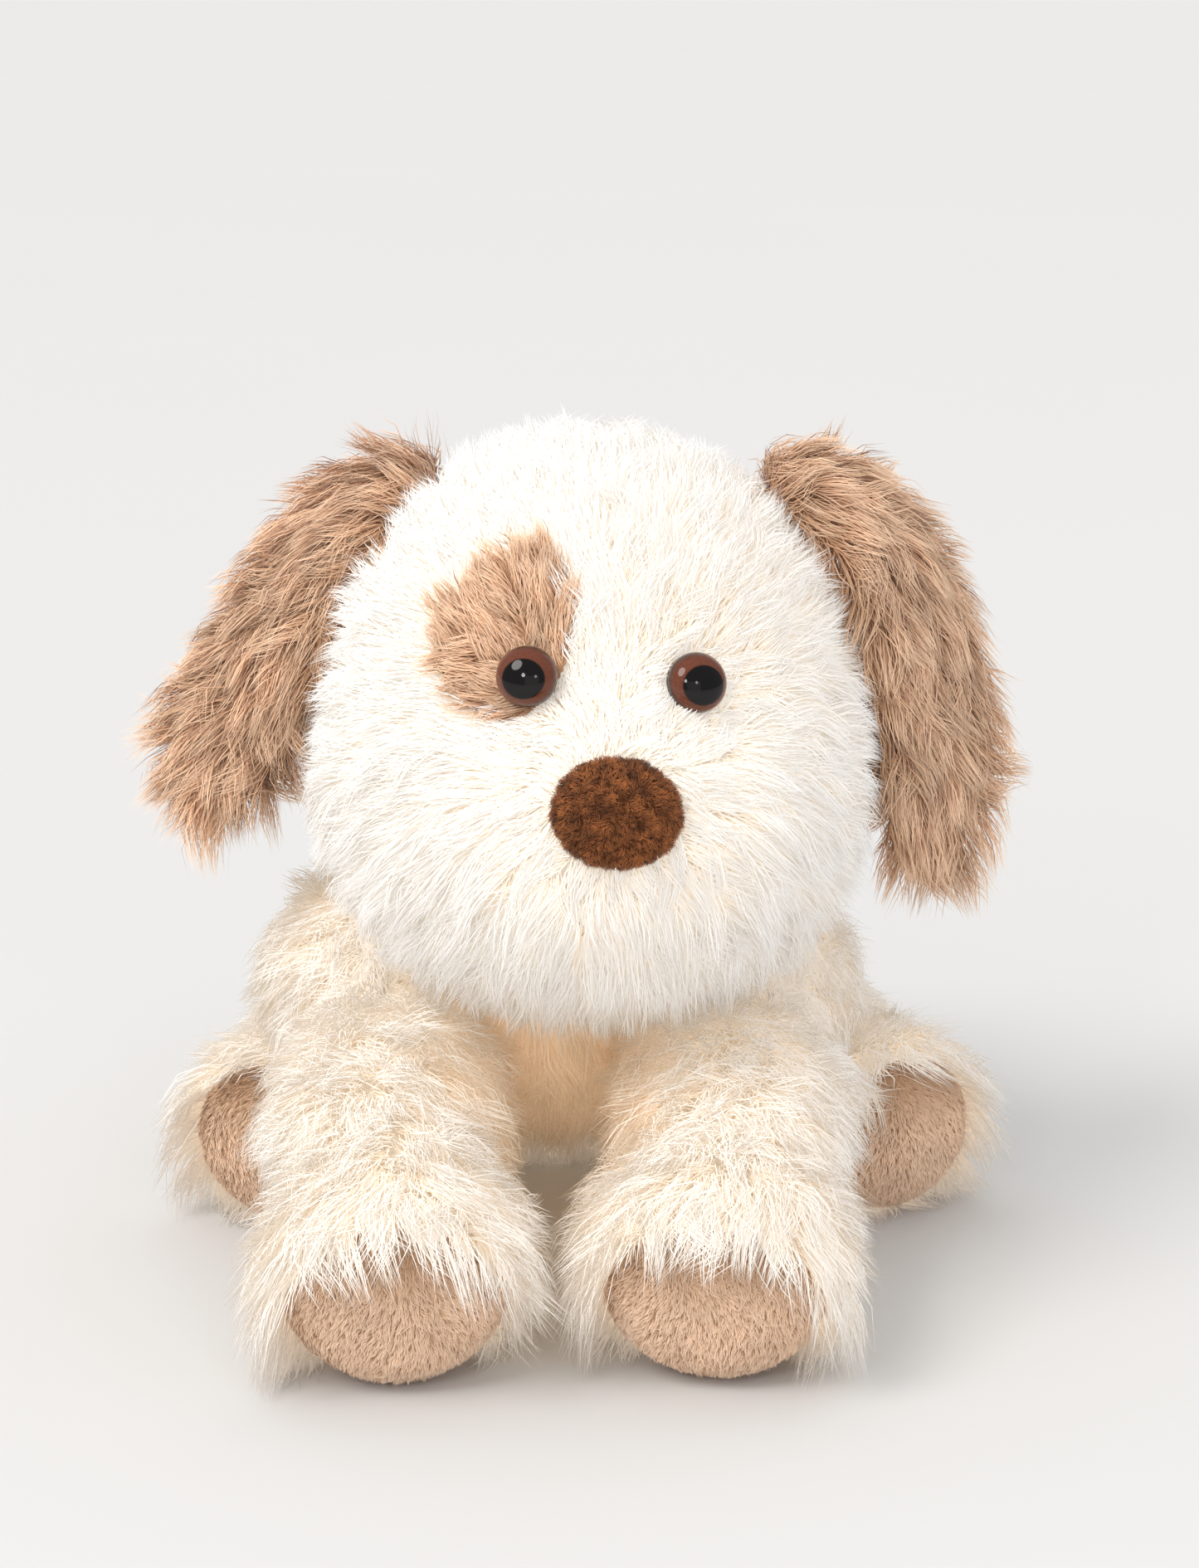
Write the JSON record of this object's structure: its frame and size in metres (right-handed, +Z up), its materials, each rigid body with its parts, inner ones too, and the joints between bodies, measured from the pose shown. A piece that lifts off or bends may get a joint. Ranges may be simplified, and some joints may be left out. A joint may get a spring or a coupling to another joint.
{
  "type": "plush dog",
  "caption": "Sitting soft-toy dog of sewn plush panels over stuffing, with a turning head, flapping ears, swinging legs and a wagging tail.",
  "frame": {"origin": "on the resting plane, under the middle of the overall box", "axes": "+Z up, the dog faces -Y, +X is the dog's left"},
  "size_m": [0.2006, 0.2606, 0.2008],
  "materials": {
    "cream_plush": "long shaggy pile, off-white tips over warm cream roots",
    "tan_long_plush": "long brushed pile, pale tips over darker tan roots",
    "tan_short_plush": "short dense velvet pile with a visible nap",
    "brown_plush": "short dense pile",
    "polyester_stuffing": "loose white fibre",
    "eye_lens": "clear polished dome",
    "eye_plastic": "moulded brown disc with a black pupil",
    "washer_plastic": "moulded"
  },
  "bodies": {
    "torso": {"torso_back_left": "cream_plush", "torso_back_right": "cream_plush", "torso_belly": "cream_plush", "torso_stuffing": "polyester_stuffing"},
    "neck": {"neck_stuffing": "polyester_stuffing"},
    "head": {"head_side_left": "cream_plush", "head_side_right": "cream_plush", "head_gusset": "cream_plush", "head_chin": "cream_plush", "eye_patch": "tan_long_plush", "head_stuffing": "polyester_stuffing", "nose_cover": "brown_plush", "nose_stuffing": "polyester_stuffing", "eye_lens_left": "eye_lens", "eye_lens_right": "eye_lens", "eye_stem_left": "eye_plastic", "eye_stem_right": "eye_plastic", "eye_washers": "washer_plastic"},
    "ear_left": {"ear_back_left": "tan_long_plush", "ear_front_left": "tan_long_plush"},
    "ear_right": {"ear_back_right": "tan_long_plush", "ear_front_right": "tan_long_plush"},
    "tail": {"tail_upper": "cream_plush", "tail_lower": "cream_plush", "tail_stuffing": "polyester_stuffing"},
    "foreleg_left": {"foreleg_outer_left": "cream_plush", "foreleg_inner_left": "cream_plush", "foreleg_sole_left": "tan_short_plush", "foreleg_stuffing_left": "polyester_stuffing"},
    "foreleg_right": {"foreleg_outer_right": "cream_plush", "foreleg_inner_right": "cream_plush", "foreleg_sole_right": "tan_short_plush", "foreleg_stuffing_right": "polyester_stuffing"},
    "hindleg_left": {"hindleg_outer_left": "cream_plush", "hindleg_inner_left": "cream_plush", "hindleg_sole_left": "tan_short_plush", "hindleg_stuffing_left": "polyester_stuffing"},
    "hindleg_right": {"hindleg_outer_right": "cream_plush", "hindleg_inner_right": "cream_plush", "hindleg_sole_right": "tan_short_plush", "hindleg_stuffing_right": "polyester_stuffing"}
  },
  "joints": [
    {"name": "head_turn", "type": "hinge", "parent": "torso", "child": "neck", "pos_m": [-0.0015, -0.00938, 0.09894], "axis": [0, -0.4384, 0.8988], "range_deg": [-18, 18], "stiffness_Nm_per_rad": 1.5},
    {"name": "head_nod", "type": "hinge", "parent": "neck", "child": "head", "pos_m": [-0.0015, -0.00938, 0.09894], "axis": [1, 0, 0], "range_deg": [-13, 6], "stiffness_Nm_per_rad": 3},
    {"name": "ear_left_flap", "type": "hinge", "parent": "head", "child": "ear_left", "pos_m": [0.04696, -0.01946, 0.19186], "axis": [0, -1, 0], "range_deg": [-5, 70], "stiffness_Nm_per_rad": 0.12},
    {"name": "ear_right_flap", "type": "hinge", "parent": "head", "child": "ear_right", "pos_m": [-0.03396, -0.01946, 0.19186], "axis": [0, 1, 0], "range_deg": [-5, 60], "stiffness_Nm_per_rad": 0.12},
    {"name": "foreleg_left_swing", "type": "hinge", "parent": "torso", "child": "foreleg_left", "pos_m": [0.04214, -0.0129, 0.064], "axis": [-1, 0, 0], "range_deg": [-12, 6], "stiffness_Nm_per_rad": 0.8},
    {"name": "foreleg_right_swing", "type": "hinge", "parent": "torso", "child": "foreleg_right", "pos_m": [-0.04914, -0.0129, 0.064], "axis": [-1, 0, 0], "range_deg": [-12, 6], "stiffness_Nm_per_rad": 0.8},
    {"name": "hindleg_left_splay", "type": "hinge", "parent": "torso", "child": "hindleg_left", "pos_m": [0.04347, 0.04876, 0.02728], "axis": [0, 0, 1], "range_deg": [-3, 35], "stiffness_Nm_per_rad": 0.8},
    {"name": "hindleg_right_splay", "type": "hinge", "parent": "torso", "child": "hindleg_right", "pos_m": [-0.05047, 0.04876, 0.02728], "axis": [0, 0, -1], "range_deg": [-3, 35], "stiffness_Nm_per_rad": 0.8},
    {"name": "tail_wag", "type": "hinge", "parent": "torso", "child": "tail", "pos_m": [-0.0035, 0.09967, 0.04284], "axis": [0, 0, 1], "range_deg": [-20, 20], "stiffness_Nm_per_rad": 0.08}
  ]
}
